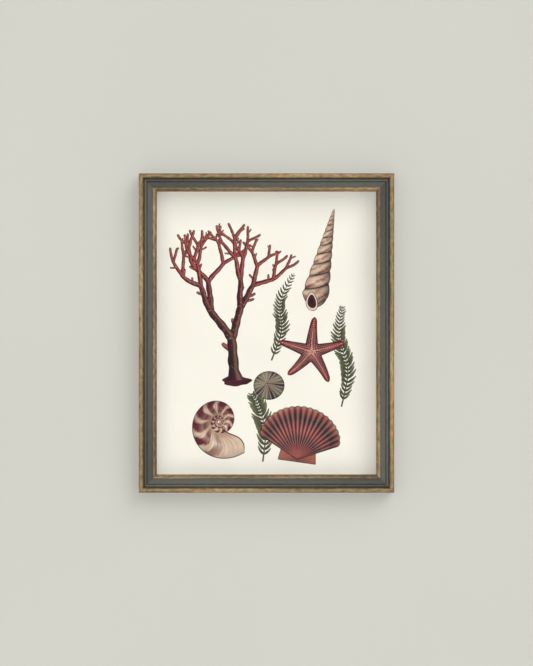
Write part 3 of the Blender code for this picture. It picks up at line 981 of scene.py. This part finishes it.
def draw_auger(plate, tip, foot, half_width, whorls, seed):
    """A tall spire: whorls that widen to the mouth, slanting seams, and flames across them."""
    length = dist(tip, foot)
    along = ((foot[0] - tip[0]) / length, (foot[1] - tip[1]) / length)
    growth, slant = 1.155, 0.34
    light, mouth_start = -0.35, 0.93

    def put(side, down):
        """A point from its distances across and down the spire."""
        x, y = along
        return tip[0] + x * down - y * side, tip[1] + y * down + x * side

    def phase(u, v):
        """How many whorls lie above; they grow by a constant factor and slant across the spire."""
        return log(1 + v * (growth ** whorls - 1)) / log(growth) + slant * (2 * u - 1)

    def at(u, v):
        side, step = 2 * u - 1, phase(u, v) % 1.0
        bulge = 0.90 + 0.13 * sin(pi * step) ** 0.8 + 0.03 * (1 - step)
        half = half_width * (0.05 + 0.95 * v ** 0.92) * bulge
        half *= 1 - 0.35 * max(0.0, v - mouth_start) / 0.07
        sag = 0.10 + 0.55 * max(0.0, v - mouth_start) / 0.07
        return put(side * half, v * length + sag * half * (1 - side * side))

    def ink(u, v):
        side, turn = 2 * u - 1, phase(u, v)
        step = turn % 1.0
        flame = sin(turn * 9.1 + side * 3.3 + 1.4 * ripple(turn * 2, side * 3, 0.8, seed + 2))
        seam = peak(step, 0.0, 0.10) + 0.8 * peak(step, 1.0, 0.13)
        shade = max(0.0, abs(side - light) - 0.25) ** 1.6 * 0.72
        shine = peak(side, light, 0.17) * sin(pi * min(1, step * 1.1)) ** 2
        return layered(
            CREAM,
            (PEACH, 0.5 + 0.5 * ripple(turn * 3, side * 2, 1.0, seed)),
            (BRICK, max(0.0, flame) * (0.35 + 0.6 * step)),
            (BURGUNDY, max(0.0, flame - 0.35) * 1.1 * step),
            (UMBER, 0.08 + 0.08 * cos(tau * 5 * step)),
            (WINE, min(0.85, seam)),
            (blend(WINE, SLATE, 0.35), shade),
            (CREAM, 0.55 * max(0.0, shine)),
        )

    rows = whorls * 10
    plate.patch(at, ink, 12, rows)
    edge = [at(0.0, i / rows) for i in range(rows + 1)] + [at(i / 10, 1.0) for i in range(1, 11)]
    edge += [at(1.0, 1 - i / rows) for i in range(1, rows + 1)]
    plate.stroke(edge, lambda v: 1.2 - abs(2 * v - 1), INK)
    for whorl in range(1, whorls):
        seam = []
        for i in range(13):
            level = (growth ** (whorl - slant * (i / 6 - 1)) - 1) / (growth ** whorls - 1)
            if 0 <= level <= 1:
                seam.append(at(i / 12, level))
        size = 0.25 + 0.75 * whorl / whorls
        if len(seam) > 3:
            plate.stroke(seam, lambda v: size * (0.5 + 0.5 * sin(pi * v)), INK)

    # The mouth: a dark drop with a pale lip
    for scale, inner, outer in ((1.0, PEACH, CREAM), (0.70, INK, BURGUNDY)):
        def mouth(u, v):
            turn = tau * u
            wide = scale * 0.42 * half_width * v * cos(turn) * (1 - 0.30 * sin(turn))
            down = length - scale * 0.66 * half_width * v * sin(turn)
            return put(wide - 0.16 * half_width + 0.20 * (down - length), down)

        plate.patch(mouth, lambda u, v: blend(inner, outer, v), 24, 2)
        plate.stroke(rim(mouth, 24), 0.9, INK)


def draw_nautilus(plate, place, size, tilt, seed):
    """A coiled shell with flame stripes round its back and a plain chamber at its mouth."""
    growth = 0.182
    last = tau * 2.15

    def at(u, v):
        turn = last * u
        outer = size * exp(growth * (turn - last))
        inner = outer * 0.13
        reach = inner + (outer - inner) * v
        swing = turn + 0.42 * sin(pi * v * 0.9) - 0.25 * (1 - v)
        return turned(1.06 * reach * cos(swing), reach * sin(swing), tilt, place)

    def ink(u, v):
        turn = last * u
        age = (last - turn) / tau
        wave = 0.5 * ripple(turn * 3, v * 4, 1.0, seed) + 0.20 * sin(7 * v + turn)
        stripe = sin(turn * 10.0 + 2.2 * v + wave * 2.4)
        strength = min(1.0, max(0.0, stripe + 0.35 + 0.4 * age) * 2.2)
        strength *= min(1.0, max(0.0, age - 0.05) / 0.16) * min(1.0, max(0.0, v - 0.22) / 0.25)
        shade = max(0.0, 0.42 - v) * 1.5 + max(0.0, v - 0.80) * 1.5
        shade += 0.2 * max(0.0, -sin(turn + 0.6))
        shine = peak(v, 0.62, 0.10) * (0.6 + 0.4 * sin(turn + 1.0))
        return layered(
            CREAM,
            (PEACH, 0.45 + 0.4 * ripple(turn * 2, v * 3, 0.7, seed + 1) + 0.2 * (1 - v)),
            (blend(CRIMSON, BURGUNDY, 0.6 + 0.5 * ripple(turn * 5, v * 5, 1.0, seed + 3)), strength),
            (WINE, min(0.8, shade)),
            (CREAM, 0.42 * max(0.0, shine)),
        )

    plate.stroke([at(0.3 + 0.7 * i / 140, 1.0) for i in range(141)], lambda v: 1.0 + 1.6 * v, INK)
    plate.patch(at, ink, 200, 10)
    plate.stroke([at(1.0, i / 16) for i in range(17)], lambda v: 1.7 * taper(v, 0.2, 0.2), INK)
    for step in range(36):
        u = 0.60 + 0.385 * step / 35
        line = [at(u, 0.22 + 0.74 * i / 10) for i in range(11)]
        plate.stroke(line, lambda v: 0.35 * taper(v), blend(UMBER, WINE, 0.5))
    seam = [at(0.55 + 0.45 * i / 60, 0.02) for i in range(61)]
    plate.stroke(seam, lambda v: 0.3 + 1.1 * v, INK)


GOLDEN_ANGLE = 137.5


def draw_starfish(plate, place, size, tilt, seed):
    """Five bent arms with a row of pale knobs down each, and finer ones to its sides."""
    rng = random.Random(seed)
    arms = []
    for arm in range(5):
        angle, bend = tilt + 72 * arm + rng.uniform(-4, 4), rng.uniform(-16, 16)
        step = size * rng.uniform(0.94, 1.06) / 22
        path = [place]
        for i in range(22):
            path.append(onward(path[-1], angle + bend * (i / 22) ** 1.5, step))
        arms.append(path)

    def width(v):
        return size * (0.44 - 0.32 * v ** 0.8) * min(1.0, (1.0 - v) / 0.10 + 0.001) ** 0.5

    def ink(u, v):
        side = 2 * u - 1
        return layered(
            gradient(((0.0, CRIMSON), (0.35, BURGUNDY), (0.75, CRIMSON), (1.0, BRICK)), v),
            (WINE, abs(side) ** 2.2 * 0.75 + 0.12 * side),
            (ROSE, 0.45 * peak(side, -0.14, 0.20)),
            (WINE, 0.25 * ripple(u * 6, v * 30, 1.6, seed)),
        )

    for path in arms:
        plate.stroke(path, lambda v: width(v) + 1.6 * min(1.0, (1.02 - v) / 0.03), INK)
    for path in arms:
        plate.stroke(path, width, ink, 8)

    # Rows of knobs: how far to the side and along, the knobs' radius and their pitch
    rows = ((0.0, 0.96, 1.5, 3.2), (0.42, 0.84, 0.95, 2.8), (0.74, 0.7, 0.7, 2.8))
    for path in arms:
        for row, reach, knob, pitch in rows:
            count = int(size * reach / pitch)
            for i in range(1, count):
                v = reach * i / count
                radius = knob * (1.1 - 0.5 * v) * rng.uniform(0.85, 1.15)
                for side in (-row, row) if row else (0.0,):
                    x, y = point_on(path, v, width(v), side + rng.uniform(-0.04, 0.04))
                    plate.knob(x, y, radius, CREAM, BRICK if row else ROSE)
    for i in range(14):
        plate.knob(*turned(size * 0.032 * sqrt(i), 0.0, i * GOLDEN_ANGLE, place), 1.3, CREAM, ROSE)


def draw_coral(plate, root, height, span, seed):
    """A branching coral, drawn from its thin far branches to its stem, within the span of x."""
    rng = random.Random(seed)
    levels = 5
    limbs = []

    def twig_path(start, heading, length):
        path = [start]
        for _ in range(7):
            heading += (90 - heading) * 0.07
            path.append(onward(path[-1], heading, length / 7))
        return path

    def grow(x, y, heading, length, width, depth):
        steps = max(5, round(length / 3.4))
        bend, path = rng.uniform(-24, 24), [(x, y)]
        for i in range(steps):
            out = min(0.0, x - span[0]) + max(0.0, x - span[1])
            here = heading + bend * sin((i + 1) / steps * pi * 0.8) + 1.5 * out
            here += 8 * ripple(x, y, 9.0, seed)
            x, y = onward((x, y), here, length / steps)
            path.append((x, y))
        end = 0.78 * width
        limbs.append((depth, path, width, end))
        for _ in range(rng.choice((0, 1, 1, 2)) if depth < levels else 1):
            k = rng.randrange(len(path) // 3, len(path) - 1)
            side = rng.choice((-1, 1))
            reach = rng.uniform(0.20, 0.34) * length
            twig = twig_path(path[k], heading + side * rng.uniform(45, 75), reach)
            limbs.append((-1, twig, end * 0.55, end * 0.42))
        if depth:
            back = (90 - heading) * 0.22
            spread = rng.uniform(22, 31)
            for side in (-1, 1):
                turn = heading + back + side * spread * rng.uniform(0.75, 1.15)
                grow(x, y, turn, length * rng.uniform(0.74, 0.88), end * 0.94, depth - 1)

    grow(*root, 96, height * 0.235, 17.0, levels)
    limbs.sort(key=lambda limb: limb[0])

    def girth(start, end, v):
        foot = 0.85 * exp(-v / 0.07) if start > 16 else 0.0
        return (start + (end - start) * v) * (1 + foot + 0.09 * sin(v * 17 + start * 7))

    def mound(u, v):
        turn = tau * u
        lump = 1 + 0.10 * sin(3 * turn + 1) + 0.06 * sin(7 * turn)
        x, y = 22 * lump * v * cos(turn), 7 * lump * v * sin(turn)
        return root[0] + x + 1.5, root[1] + y - 1

    def mound_ink(u, v):
        lit = cos(tau * (u - 0.45)) * v
        spots = max(0.0, ripple(u * 14, v * 3, 1.0, seed))
        return layered(WINE, (BURGUNDY, 0.6 + 0.6 * lit), (BRICK, 0.4 * spots))

    outline = blend(INK, WINE, 0.4)
    plate.stroke(rim(mound, 40), 1.6, outline)
    plate.patch(mound, mound_ink, 40, 4)
    for _, path, start, end in limbs:
        plate.stroke(path, lambda v: girth(start, end, v) + 1.2, outline)
        tip = girth(start, end, 1.0) / 2
        plate.knob(*path[-1], tip + 0.6, outline, outline, 10)

    stops = ((-0.2, BRICK), (0.0, CRIMSON), (0.22, CRIMSON), (0.5, BURGUNDY), (0.9, WINE))
    for depth, path, start, end in limbs:
        def ink(u, v):
            side = 2 * u - 1
            return layered(
                gradient(stops, (max(0, depth) - v) / levels),
                (WINE, max(0.0, side) ** 1.5 * 0.72),
                (PEACH, 0.40 * peak(side, -0.38, 0.22)),
                (WINE, 0.35 * ripple(v * 40, u * 2, 3.0, seed + depth)),
            )

        tip = girth(start, end, 1.0) / 2
        plate.knob(*path[-1], tip, ink(0.35, 1.0), ink(0.75, 1.0), 10)
        plate.stroke(path, lambda v: girth(start, end, v), ink, 4 if depth > 2 else 3)
        for _ in range(int(len(path) * 0.35)):
            v = rng.uniform(0.05, 0.95)
            x, y = point_on(path, v, girth(start, end, v), rng.uniform(-0.6, 0.6))
            plate.knob(x, y, rng.uniform(0.45, 0.75), CREAM, ROSE, 5)


def draw_urchin(plate, place, size, seed):
    """A round urchin shell: ten rows of knobs from an off-centre crown out to the rim."""
    crown = (place[0] - size * 0.12, place[1] + size * 0.16)

    def at(u, v):
        turn, v = tau * u, sin(v * pi / 2) ** 1.1
        rim_x = place[0] + size * 1.04 * cos(turn)
        rim_y = place[1] + size * 0.96 * sin(turn)
        return crown[0] + (rim_x - crown[0]) * v, crown[1] + (rim_y - crown[1]) * v

    def ink(u, v):
        lit = sin(tau * (u - 0.12))
        return layered(
            SAGE,
            (PLUM, (0.5 + 0.5 * cos(tau * 5 * u)) ** 0.7),
            (CREAM, 0.30 * max(0.0, lit) * (1 - v)),
            (SLATE, v ** 3 * 0.55 + 0.2 * max(0.0, -lit) * v),
            (MOSS, 0.3 * ripple(u * 30, v * 8, 2.0, seed)),
        )

    plate.stroke(rim(at, 50), 1.8, INK)
    plate.patch(at, ink, 50, 8)
    for row in range(10):
        seam = [at(row / 10, 0.12 + 0.86 * i / 10) for i in range(11)]
        plate.stroke(seam, lambda v: 0.5 * taper(v), SLATE)
        for lane in (-0.028, 0.028):
            for i in range(2, 15):
                v = i / 15
                x, y = at((row + 0.5) / 10 + lane * (0.7 + 0.3 * v), v)
                radius = size * 0.042 * sin(pi * (0.12 + 0.80 * v)) ** 0.8
                plate.knob(x, y, radius, CREAM, blend(PLUM, BRICK, 0.4))
    plate.knob(*crown, size * 0.13, SLATE, INK, 12)
    for i in range(5):
        plate.knob(*turned(size * 0.085, 0, 72 * i + 20, crown), size * 0.035, CREAM, PEACH)


def draw_frond(plate, points, leaf, seed):
    """A feathery weed: a bowed stem with curved leaflets on both sides, longest below its middle."""
    rng = random.Random(seed)
    path = smooth_path(points, 12)
    length = sum(dist(a, b) for a, b in zip(path, path[1:]))
    leaflets = []
    count = int(length / 6.0)
    for i in range(1, count):
        v = 0.06 + 0.92 * i / count
        a, b = point_on(path, v), point_on(path, min(1.0, v + 0.02))
        heading = degrees(atan2(b[1] - a[1], b[0] - a[0]))
        for side in (-1, 1):
            size = leaf * sin(pi * (0.10 + 0.86 * v ** 0.8)) ** 0.8 * rng.uniform(0.85, 1.1)
            turn = heading + side * rng.uniform(52, 62)
            leaflet = [a]
            for _ in range(9):
                turn -= side * 3.4
                leaflet.append(onward(leaflet[-1], turn, size / 9))
            leaflets.append((leaflet, size))

    def ink(u, v):
        side, shift = 2 * u - 1, 0.2 * ripple(u, v * 5, 1.0, leaflet_seed)
        return layered(
            gradient(((0.0, MOSS), (0.5, OLIVE), (1.0, SAGE)), v + shift),
            (SLATE, max(0.0, side) * 0.6),
            (UMBER, 0.5 * max(0.0, ripple(v * 3, leaflet_seed, 1.0, 2.0))),
        )

    outline = blend(INK, MOSS, 0.3)
    for leaflet, size in leaflets:
        plate.stroke(leaflet, lambda v: 0.19 * size * taper(v, 0.3, 0.6) + 0.9, outline)
    for leaflet_seed, (leaflet, size) in enumerate(leaflets):
        plate.stroke(leaflet, lambda v: 0.19 * size * taper(v, 0.3, 0.6), ink, 3)
    plate.stroke(path, lambda v: 2.6 * (1 - 0.75 * v), outline)
    plate.stroke(path, lambda v: 1.5 * (1 - 0.75 * v), OLIVE)


def draw_plate(plate):
    """A plate of shells, coral and weeds, the far ones first."""
    draw_frond(plate, [(-6, -206), (-2, -160), (-12, -120), (-24, -96)], 23, 3)
    draw_frond(plate, [(120, -118), (130, -60), (116, -4), (122, 44)], 20, 7)
    draw_frond(plate, [(8, -44), (24, 4), (22, 50), (44, 96)], 17, 13)
    draw_coral(plate, (-50, -76), 282, (-112, 22), 11)
    draw_auger(plate, (108, 198), (76, 50), 22.0, 12, 4)
    draw_starfish(plate, (72, -30), 54, 16, 21)
    draw_nautilus(plate, (-76, -142), 62, -110, 6)
    draw_scallop(plate, (50, -194), -8, 84, 2)
    draw_urchin(plate, (4, -84), 23, 9)


# Faces are looked up in a grid of cells of this size, in millimetres
CELL = 2.5


def holds(corners, x, y):
    """True if a polygon's corners go round the point."""
    inside = False
    ax, ay = corners[-1]
    for bx, by in corners:
        if (ay > y) != (by > y) and x < (bx - ax) * (y - ay) / (by - ay) + ax:
            inside = not inside
        ax, ay = bx, by
    return inside


def flattened(plate, width, height):
    """One flat layer of triangles over the whole sheet, and the top paint at their corners."""
    x, y = width / 2, height / 2
    sheet = [(-x, -y), (x, -y), (x, y), (-x, y)]
    points = [Vector(point) for point in plate.points + sheet]
    first = len(plate.points)
    edges = {(first + i, first + (i + 1) % 4) for i in range(4)}
    cells = {}
    for face in plate.faces:
        for a, b in zip(face, face[1:] + face[:1]):
            edges.add((min(a, b), max(a, b)))
        xs = [plate.points[corner][0] // CELL for corner in face]
        ys = [plate.points[corner][1] // CELL for corner in face]
        for i in range(int(min(xs)), int(max(xs)) + 1):
            for j in range(int(min(ys)), int(max(ys)) + 1):
                cells.setdefault((i, j), []).append(face)
    verts, _, triangles, _, _, _ = delaunay_2d_cdt(points, list(edges), [], 0, 0.01, False)

    colours = []
    for triangle in triangles:
        x = sum(verts[corner][0] for corner in triangle) / 3
        y = sum(verts[corner][1] for corner in triangle) / 3
        top = None
        for face in reversed(cells.get((int(x // CELL), int(y // CELL)), ())):
            if holds([plate.points[corner] for corner in face], x, y):
                top = face
                break
        if top is None:
            colours += [(0.0, 0.0, 0.0, 0.0)] * 3
            continue
        solid = [Vector((*plate.points[corner], 0.0)) for corner in top]
        for corner in triangle:
            weights = interpolate.poly_3d_calc(solid, Vector((*verts[corner], 0.0)))
            ink = [0.0, 0.0, 0.0]
            for weight, index in zip(weights, top):
                for i in range(3):
                    ink[i] += weight * plate.inks[index][i]
            colours.append((*ink, 1.0))
    return verts, triangles, colours


def print_mesh(name, low, high):
    """A closed sheet in the box from low to high, with the plate's inks on its front."""
    plate = Plate()
    draw_plate(plate)
    width, height = (high.x - low.x) / MM, (high.z - low.z) / MM
    verts, triangles, colours = flattened(plate, width, height)
    middle_x, middle_z = (low.x + high.x) / 2, (low.z + high.z) / 2
    bm = bmesh.new()
    ink = bm.loops.layers.float_color.new("ink")
    bake = bm.loops.layers.uv.new("OFBake")
    front = [bm.verts.new((middle_x + x * MM, low.y, middle_z + z * MM)) for x, z in verts]
    corner_colours = iter(colours)
    for triangle in triangles:
        for loop in bm.faces.new([front[i] for i in triangle]).loops:
            loop[ink] = next(corner_colours)
            share_x = (loop.vert.co.x - low.x) / (high.x - low.x)
            share_z = (loop.vert.co.z - low.z) / (high.z - low.z)
            loop[bake].uv = (0.01 + 0.98 * share_x, 0.06 + 0.93 * share_z)

    # The back and the four sides, whose bake takes little room below the front's
    corners = []
    for x, z in ((low.x, low.z), (high.x, low.z), (high.x, high.z), (low.x, high.z)):
        near = min(front, key=lambda vert: abs(vert.co.x - x) + abs(vert.co.z - z))
        corners.append((near, bm.verts.new((x, high.y, z))))
    faces = [[back for _, back in reversed(corners)]]
    for (near, back), (next_near, next_back) in zip(corners, corners[1:] + corners[:1]):
        faces.append([near, back, next_back, next_near])
    for i, corner_verts in enumerate(faces):
        places = ((0.0, 0.0), (1.0, 0.0), (1.0, 1.0), (0.0, 1.0))
        for loop, (u, v) in zip(bm.faces.new(corner_verts).loops, places):
            loop[ink] = (0.0, 0.0, 0.0, 0.0)
            loop[bake].uv = (0.02 + 0.18 * i + 0.14 * u, 0.01 + 0.03 * v)
    return mesh_of(name, bm)


def add_sheets():
    """The paper, the glass before it and the board behind it."""
    low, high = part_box("art_print")
    sheet = new_object("print_sheet", print_mesh("print_sheet", low, high), paper_finish(low, high))
    declare(sheet, "paper", "art_print")
    softened_copy("backing_board", "back_board", 0.25 * MM, board_finish(), "hardboard")
    pane = softened_copy("glass_pane", "glazing", 0.25 * MM, glass_finish(), "glass")
    pane.visible_shadow = False
    pane.visible_diffuse = False


# The photograph's frame and scale: its centre is the picture's centre
IMAGE_HEIGHT_PX = 666
MM_PER_PX = 1.5905
LENS_MM = 85.0
SENSOR_MM = 36.0


def add_camera():
    """A long lens straight in front of the picture's centre."""
    view_height = IMAGE_HEIGHT_PX * MM_PER_PX * MM
    distance = view_height * LENS_MM / SENSOR_MM
    data = bpy.data.cameras.new("camera")
    data.lens = LENS_MM
    data.sensor_width = SENSOR_MM
    data.clip_start = 0.05
    camera = new_object("camera", data)
    camera.location = (CENTRE.x, BACK_Y - SIDE_HEIGHT - distance, CENTRE.z)
    camera.rotation_euler = (radians(90), 0, 0)
    bpy.context.scene.camera = camera


WALL_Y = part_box("bumper_left")[1].y + 0.3 * MM
WALL_WIDTH = 2.6
WALL_HEIGHT = 2.8
FLOOR_DROP = 1.45
FLOOR_SIZE = 60.0
BACKDROP_RADIUS = 22.0
BACKDROP_HEIGHT = 50.0


def stage_piece(name, bm, paint):
    piece = new_object(name, mesh_of(name, bm), paint.material)
    piece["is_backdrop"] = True
    return piece


def stage_plane(name, width, height, paint):
    bm = bmesh.new()
    bmesh.ops.create_grid(bm, x_segments=1, y_segments=1, size=0.5)
    bmesh.ops.scale(bm, vec=(width, height, 1.0), verts=bm.verts)
    return stage_piece(name, bm, paint)


def unlit(piece):
    """Hides a piece of the stage from every ray but the camera's."""
    piece.visible_shadow = False
    piece.visible_diffuse = False
    piece.visible_glossy = False
    piece.visible_transmission = False


def add_stage():
    """A wall that only the camera sees, and only from its front, a floor, and a far ring round it."""
    paint = drifting_paint(
        "pale_wall", 2.0, 1.0, srgb(203, 203, 195), srgb(205, 205, 197),
        Roughness=0.95, Specular_IOR_Level=0.0,
    )
    clear = paint.add("ShaderNodeBsdfTransparent")
    behind = paint.add("ShaderNodeNewGeometry", output=6)
    shown = paint.add("ShaderNodeMixShader", {0: behind, 1: paint.shader.outputs[0], 2: clear})
    paint.tree.links.new(shown, paint.tree.nodes["Material Output"].inputs["Surface"])
    wall = stage_plane("wall", WALL_WIDTH, WALL_HEIGHT, paint)
    wall.location = (CENTRE.x, WALL_Y, CENTRE.z - FLOOR_DROP + WALL_HEIGHT / 2)
    wall.rotation_euler = (radians(90), 0, 0)
    unlit(wall)

    paint = drifting_paint(
        "pale_floor", 1.5, 2.0, srgb(209, 207, 201), srgb(211, 209, 203), Roughness=0.8,
    )
    floor = stage_plane("floor", FLOOR_SIZE, FLOOR_SIZE, paint)
    floor.location = (CENTRE.x, BACK_Y, CENTRE.z - FLOOR_DROP)

    # The ring is as pale as the floor's far end
    paint = Finish("pale_backdrop", Roughness=1.0, Specular_IOR_Level=0.0, Emission_Strength=1.0)
    paint.shader.inputs["Base Color"].default_value = (0.0, 0.0, 0.0, 1.0)
    paint.shader.inputs["Emission Color"].default_value = srgb(193, 191, 186)
    bm = bmesh.new()
    bmesh.ops.create_cone(
        bm, cap_ends=False, segments=96, radius1=BACKDROP_RADIUS, radius2=BACKDROP_RADIUS,
        depth=BACKDROP_HEIGHT,
    )
    ring = stage_piece("backdrop", bm, paint)
    ring.location = floor.location
    unlit(ring)


# Lights that are evenly strong: where each comes from, its strength, and its angle in degrees; the
# wider the angle, the softer the shadows
LIGHTS = {
    "key": ((0.95, -1.0, 1.25), 0.95, 42.0),
    "back_light": ((-0.6, 1.0, 0.7), 1.2, 70.0),
    "fill": ((0.05, -1.0, 0.1), 0.97, 110.0),
    "front": ((0.0, -1.0, 0.0), 1.13, 0.0),
}
SKY_STRENGTH = 0.30


def add_light():
    """Soft light all round, a key from the upper right, a shadowless front, one for the back."""
    world = bpy.data.worlds.new("studio")
    bpy.context.scene.world = world
    world.use_nodes = True
    background = world.node_tree.nodes["Background"]
    background.inputs["Color"].default_value = (1.0, 1.0, 0.99, 1.0)
    background.inputs["Strength"].default_value = SKY_STRENGTH
    for name, (source, strength, angle) in LIGHTS.items():
        data = bpy.data.lights.new(name, "SUN")
        data.energy = strength
        data.angle = radians(angle)
        data.use_shadow = name != "front"
        light = new_object(name, data)
        light.location = CENTRE + 2.0 * Vector(source)
        light.rotation_euler = (-Vector(source)).to_track_quat("-Z", "Y").to_euler()
        light.visible_glossy = name not in ("fill", "front")
        light.visible_transmission = name != "fill"
    bpy.context.scene.view_settings.view_transform = "Standard"


add_camera()
add_rails()
add_sheets()
add_fittings()
add_stage()
add_light()

boxes = {"cad": cad_box, "visual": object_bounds()}
{name: [list(corner) for corner in box] for name, box in boxes.items()}
